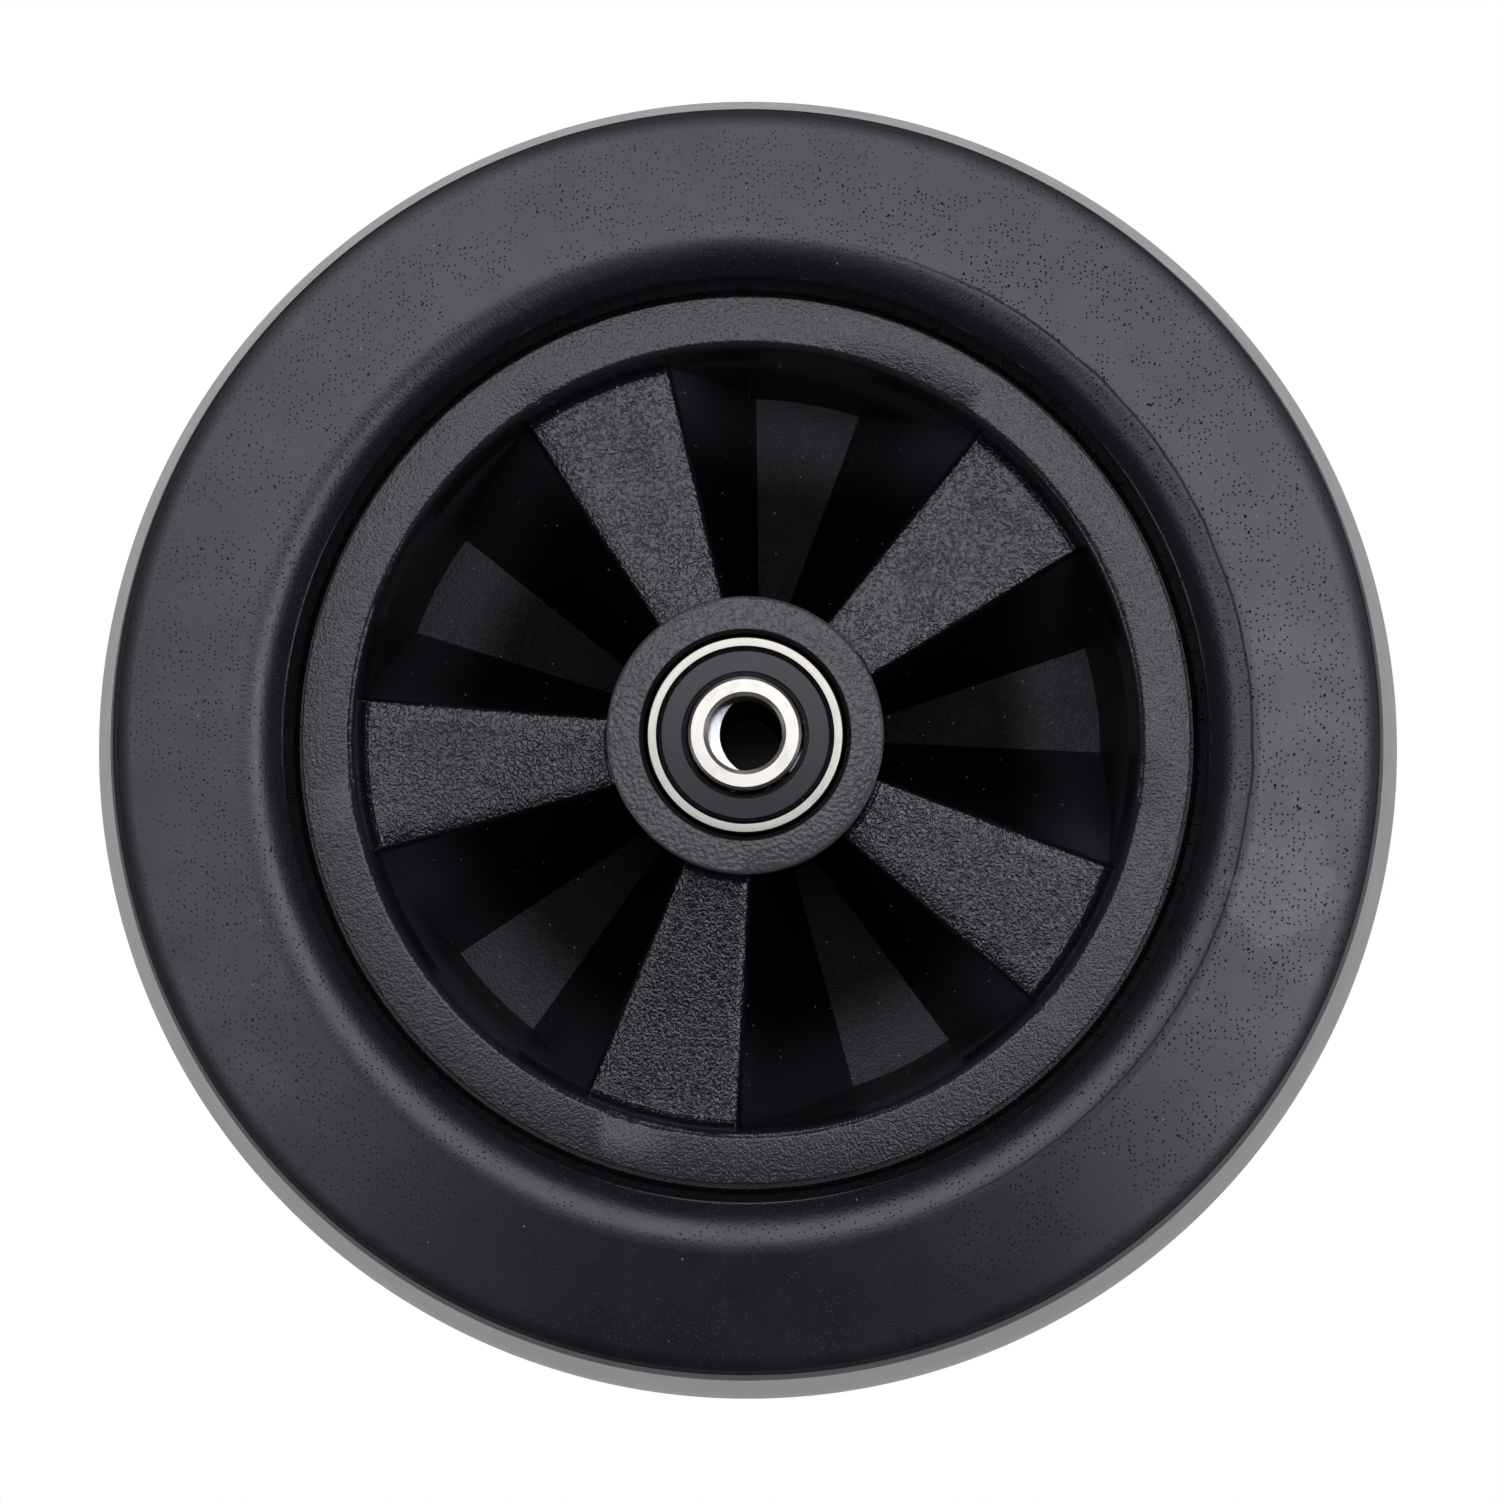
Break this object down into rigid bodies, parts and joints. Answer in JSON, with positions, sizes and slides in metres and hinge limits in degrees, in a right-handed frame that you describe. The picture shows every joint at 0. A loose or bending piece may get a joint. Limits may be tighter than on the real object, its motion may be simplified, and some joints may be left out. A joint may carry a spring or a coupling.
{
  "type": "castor wheel",
  "caption": "Castor wheel with a tapered solid rubber tyre on a moulded spoked hub, turning on two sealed ball bearings kept apart by a spacer tube.",
  "frame": {"origin": "middle of the wheel on the axle's centre line, half way between the two sides", "axes": "+Z along the axle towards the front side, +X to the right and +Y up in the picture"},
  "size_m": [0.151, 0.151, 0.06],
  "materials": {
    "tyre": "satin",
    "hub": "moulded leather grain",
    "spacer": "zinc plated",
    "bearing_ring": "ground",
    "ball": "polished",
    "cage": "moulded",
    "seal": "smooth moulded"
  },
  "bodies": {
    "axle_sleeve": {"front_inner_ring": "bearing_ring", "rear_inner_ring": "bearing_ring"},
    "spacer": {"spacer_tube": "spacer"},
    "wheel": {"tyre": "tyre", "hub": "hub", "front_outer_ring": "bearing_ring", "front_outer_seal": "seal", "front_inner_seal": "seal", "rear_outer_ring": "bearing_ring", "rear_outer_seal": "seal", "rear_inner_seal": "seal"},
    "front_ball_set": {"front_cage": "cage", "front_ball_1": "ball", "front_ball_2": "ball", "front_ball_3": "ball", "front_ball_4": "ball", "front_ball_5": "ball", "front_ball_6": "ball", "front_ball_7": "ball"},
    "rear_ball_set": {"rear_cage": "cage", "rear_ball_1": "ball", "rear_ball_2": "ball", "rear_ball_3": "ball", "rear_ball_4": "ball", "rear_ball_5": "ball", "rear_ball_6": "ball", "rear_ball_7": "ball"}
  },
  "joints": [
    {"name": "wheel_spin", "type": "hinge", "parent": "axle_sleeve", "child": "wheel", "pos_m": [0, 0, 0], "axis": [0, 0, 1], "continuous": true},
    {"name": "spacer_slip", "type": "slide", "parent": "axle_sleeve", "child": "spacer", "axis": [0.9816, 0.1908, 0], "range_m": [-0.0036, 0]},
    {"name": "front_ball_orbit", "type": "hinge", "parent": "axle_sleeve", "child": "front_ball_set", "pos_m": [0, 0, 0.0225], "axis": [0, 0, 1], "continuous": true},
    {"name": "rear_ball_orbit", "type": "hinge", "parent": "axle_sleeve", "child": "rear_ball_set", "pos_m": [0, 0, -0.0225], "axis": [0, 0, 1], "continuous": true}
  ],
  "couplings": [
    {"joint": "front_ball_orbit", "follows": "wheel_spin", "ratio": 0.6323},
    {"joint": "rear_ball_orbit", "follows": "wheel_spin", "ratio": 0.6323}
  ]
}
